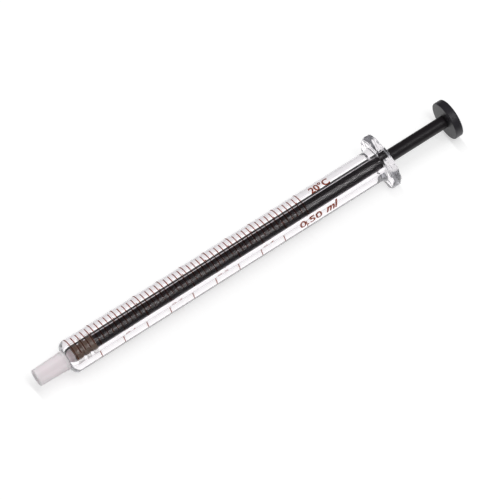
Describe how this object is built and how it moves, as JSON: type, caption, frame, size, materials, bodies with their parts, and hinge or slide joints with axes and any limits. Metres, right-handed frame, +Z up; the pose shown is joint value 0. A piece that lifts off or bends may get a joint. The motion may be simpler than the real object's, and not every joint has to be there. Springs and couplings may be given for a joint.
{
  "type": "glass luer syringe",
  "caption": "Small glass syringe with a slip luer cone, a graduated barrel with a two-winged finger flange, a PTFE-sealed piston and a black plunger rod with a flat thumb button.",
  "frame": {"origin": "centre of the luer cone's front face, on the syringe's axis", "axes": "+X along the axis from the tip to the thumb button, +Y along the wings of the finger flange, +Z up, square to the flange's flats"},
  "size_m": [0.1095, 0.013, 0.0092],
  "materials": {
    "clear_glass": "clear borosilicate glass, fire-polished edges, brown baked scale",
    "natural_plastic": "translucent natural plastic, satin moulded",
    "ptfe": "grey-brown filled PTFE, turned satin",
    "black_rod": "black anodised, satin, fine lengthwise grain",
    "black_button": "black satin moulded plastic"
  },
  "bodies": {
    "barrel": {"barrel": "clear_glass", "luer_tip": "natural_plastic"},
    "piston": {"piston_seal": "ptfe"},
    "plunger": {"plunger_rod": "black_rod", "thumb_button": "black_button"}
  },
  "joints": [
    {"name": "plunger_slide", "type": "slide", "parent": "barrel", "child": "piston", "axis": [1, 0, 0], "range_m": [0, 0.076]},
    {"name": "plunger_turn", "type": "hinge", "parent": "piston", "child": "plunger", "pos_m": [0.0145, 0, 0], "axis": [1, 0, 0], "continuous": true}
  ]
}
